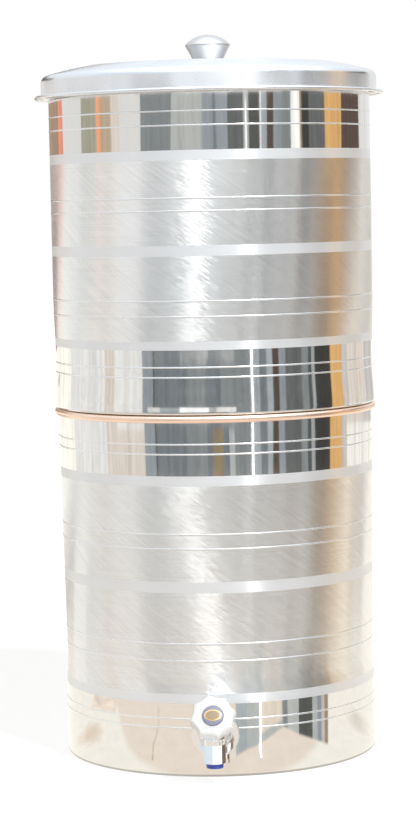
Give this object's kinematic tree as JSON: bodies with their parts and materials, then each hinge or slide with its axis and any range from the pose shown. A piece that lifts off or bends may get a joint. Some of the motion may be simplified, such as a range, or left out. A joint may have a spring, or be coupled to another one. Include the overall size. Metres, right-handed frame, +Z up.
{
  "type": "gravity water filter",
  "caption": "Two stacked steel drums with a lid and knob, ceramic filter candles in the upper drum, a copper joint ring and an angled tap with a star handle on the lower drum.",
  "frame": {"origin": "on the ground, under the axis of the two drums", "axes": "+Z up along the drums' axis, -Y towards the tap"},
  "size_m": [0.2714, 0.3082, 0.5594],
  "materials": {
    "drum_steel": "banded mirror polish, satin and brushed",
    "lid_steel": "polished",
    "knob_metal": "satin turned",
    "ring_copper": "polished copper",
    "tap_chrome": "mirror",
    "fastener_steel": "plated",
    "brass_parts": "machined",
    "handle_white": "gloss",
    "cap_grey": "gloss",
    "nozzle_blue": "gloss",
    "candle_plastic": "semi-gloss",
    "candle_ceramic": "matt porous",
    "seal_rubber": "matt"
  },
  "bodies": {
    "lower_drum": {"lower_container": "drum_steel", "lower_base_plate": "drum_steel", "joint_ring": "ring_copper", "tap_body": "tap_chrome", "tap_flange_seal": "seal_rubber", "tap_inner_seal": "seal_rubber", "tap_lock_nut": "brass_parts", "tap_nozzle": "nozzle_blue", "tap_bonnet": "tap_chrome", "bonnet_seal": "seal_rubber"},
    "upper_drum": {"upper_container": "drum_steel", "candle_1": "candle_ceramic", "candle_base_1": "candle_plastic", "candle_seal_1": "seal_rubber", "candle_lower_washer_1": "seal_rubber", "candle_wing_nut_1": "candle_plastic", "candle_2": "candle_ceramic", "candle_base_2": "candle_plastic", "candle_seal_2": "seal_rubber", "candle_lower_washer_2": "seal_rubber", "candle_wing_nut_2": "candle_plastic", "candle_3": "candle_ceramic", "candle_base_3": "candle_plastic", "candle_seal_3": "seal_rubber", "candle_lower_washer_3": "seal_rubber", "candle_wing_nut_3": "candle_plastic"},
    "lid": {"lid": "lid_steel", "lid_knob": "knob_metal", "lid_knob_washer": "fastener_steel", "lid_knob_screw": "fastener_steel"},
    "valve": {"valve_plug": "brass_parts", "valve_washer": "seal_rubber", "valve_washer_nut": "brass_parts"},
    "handle": {"tap_spindle": "brass_parts", "spindle_seal": "seal_rubber", "tap_handle": "handle_white", "tap_handle_screw": "fastener_steel", "tap_handle_cap": "cap_grey"}
  },
  "joints": [
    {"name": "upper_lift", "type": "slide", "parent": "lower_drum", "child": "upper_drum", "axis": [0, 0, 1], "range_m": [0, 0.1]},
    {"name": "lid_lift", "type": "slide", "parent": "upper_drum", "child": "lid", "axis": [0, 0, 1], "range_m": [0, 0.12]},
    {"name": "valve_lift", "type": "slide", "parent": "lower_drum", "child": "valve", "axis": [0, -0.8387, 0.5446], "range_m": [0, 0.003]},
    {"name": "handle_turn", "type": "hinge", "parent": "valve", "child": "handle", "pos_m": [0, -0.1316, 0.034], "axis": [0, -0.8387, 0.5446], "range_deg": [0, 360]}
  ],
  "couplings": [
    {"joint": "handle_turn", "follows": "valve_lift", "rad_per_m": 2094.4}
  ]
}
